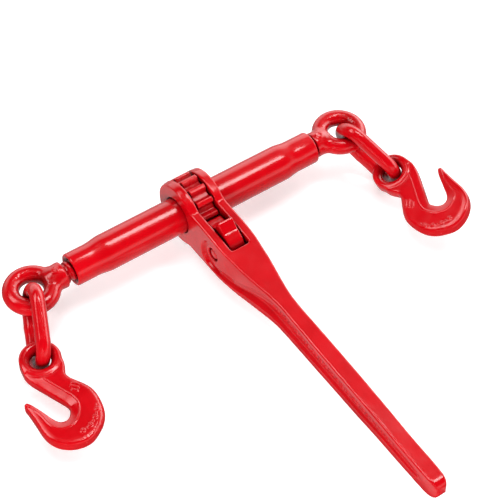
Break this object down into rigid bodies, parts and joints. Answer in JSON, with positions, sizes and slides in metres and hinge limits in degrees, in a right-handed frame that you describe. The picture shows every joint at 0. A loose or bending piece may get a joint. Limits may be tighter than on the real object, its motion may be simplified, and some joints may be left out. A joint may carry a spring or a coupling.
{
  "type": "ratchet load binder",
  "caption": "Ratchet load binder for transport chain: threaded barrel with a forged ratchet handle, eye screws, chain links and grab hooks, painted red.",
  "frame": {"origin": "middle of the underside of the whole part's box, as it lies with the handle's window facing up", "axes": "+X along the barrel from the left eye to the right eye, handle towards -Y, +Z out of the handle's window side"},
  "size_m": [0.4364, 0.3806, 0.0678],
  "materials": {
    "red_paint": "glossy bright red enamel over forged and drawn steel, smooth on the tube and slightly lumpy on the forgings",
    "plain_steel": "oiled bare steel"
  },
  "bodies": {
    "handle": {"handle": "red_paint", "pawl_pin": "red_paint", "detent_spring": "plain_steel"},
    "pawl": {"pawl": "red_paint"},
    "plunger": {"detent_plunger": "plain_steel"},
    "barrel": {"barrel_tube": "red_paint", "ratchet_gear": "red_paint"},
    "screw_left": {"eye_screw_left": "red_paint", "stop_pin_left": "plain_steel"},
    "screw_right": {"eye_screw_right": "red_paint", "stop_pin_right": "plain_steel"},
    "link_left": {"chain_link_left": "red_paint"},
    "link_right": {"chain_link_right": "red_paint"},
    "hook_left": {"grab_hook_left": "red_paint"},
    "hook_right": {"grab_hook_right": "red_paint"}
  },
  "joints": [
    {"name": "barrel_spin", "type": "hinge", "parent": "handle", "child": "barrel", "pos_m": [0.00878, 0.1593, 0.03703], "axis": [1, 0, 0], "range_deg": [0, 5040]},
    {"name": "screw_left_slide", "type": "slide", "parent": "handle", "child": "screw_left", "axis": [-1, 0, 0], "range_m": [0, 0.08891]},
    {"name": "screw_right_slide", "type": "slide", "parent": "handle", "child": "screw_right", "axis": [1, 0, 0], "range_m": [0, 0.08891]},
    {"name": "pawl_rock", "type": "hinge", "parent": "handle", "child": "pawl", "pos_m": [0.00878, 0.1031, 0.04003], "axis": [1, 0, 0], "range_deg": [-14, 14]},
    {"name": "plunger_slide", "type": "slide", "parent": "handle", "child": "plunger", "axis": [0, 1, 0], "range_m": [0, 0.0012]},
    {"name": "link_left_swing", "type": "hinge", "parent": "screw_left", "child": "link_left", "pos_m": [-0.15641, 0.1593, 0.03703], "axis": [0, 0, 1], "range_deg": [-160, 25]},
    {"name": "link_right_swing", "type": "hinge", "parent": "screw_right", "child": "link_right", "pos_m": [0.16898, 0.1593, 0.03703], "axis": [0, 0, 1], "range_deg": [-25, 160]},
    {"name": "hook_left_swing", "type": "hinge", "parent": "link_left", "child": "hook_left", "pos_m": [-0.18323, 0.10068, 0.02303], "axis": [0, 0, 1], "range_deg": [-60, 60]},
    {"name": "hook_right_swing", "type": "hinge", "parent": "link_right", "child": "hook_right", "pos_m": [0.18712, 0.10028, 0.02303], "axis": [-0.4226, 0.1183, 0.8986], "range_deg": [-60, 60]}
  ],
  "couplings": [
    {"joint": "screw_left_slide", "follows": "barrel_spin", "m_per_rad": 0.0010106},
    {"joint": "screw_right_slide", "follows": "barrel_spin", "m_per_rad": 0.0010106}
  ]
}
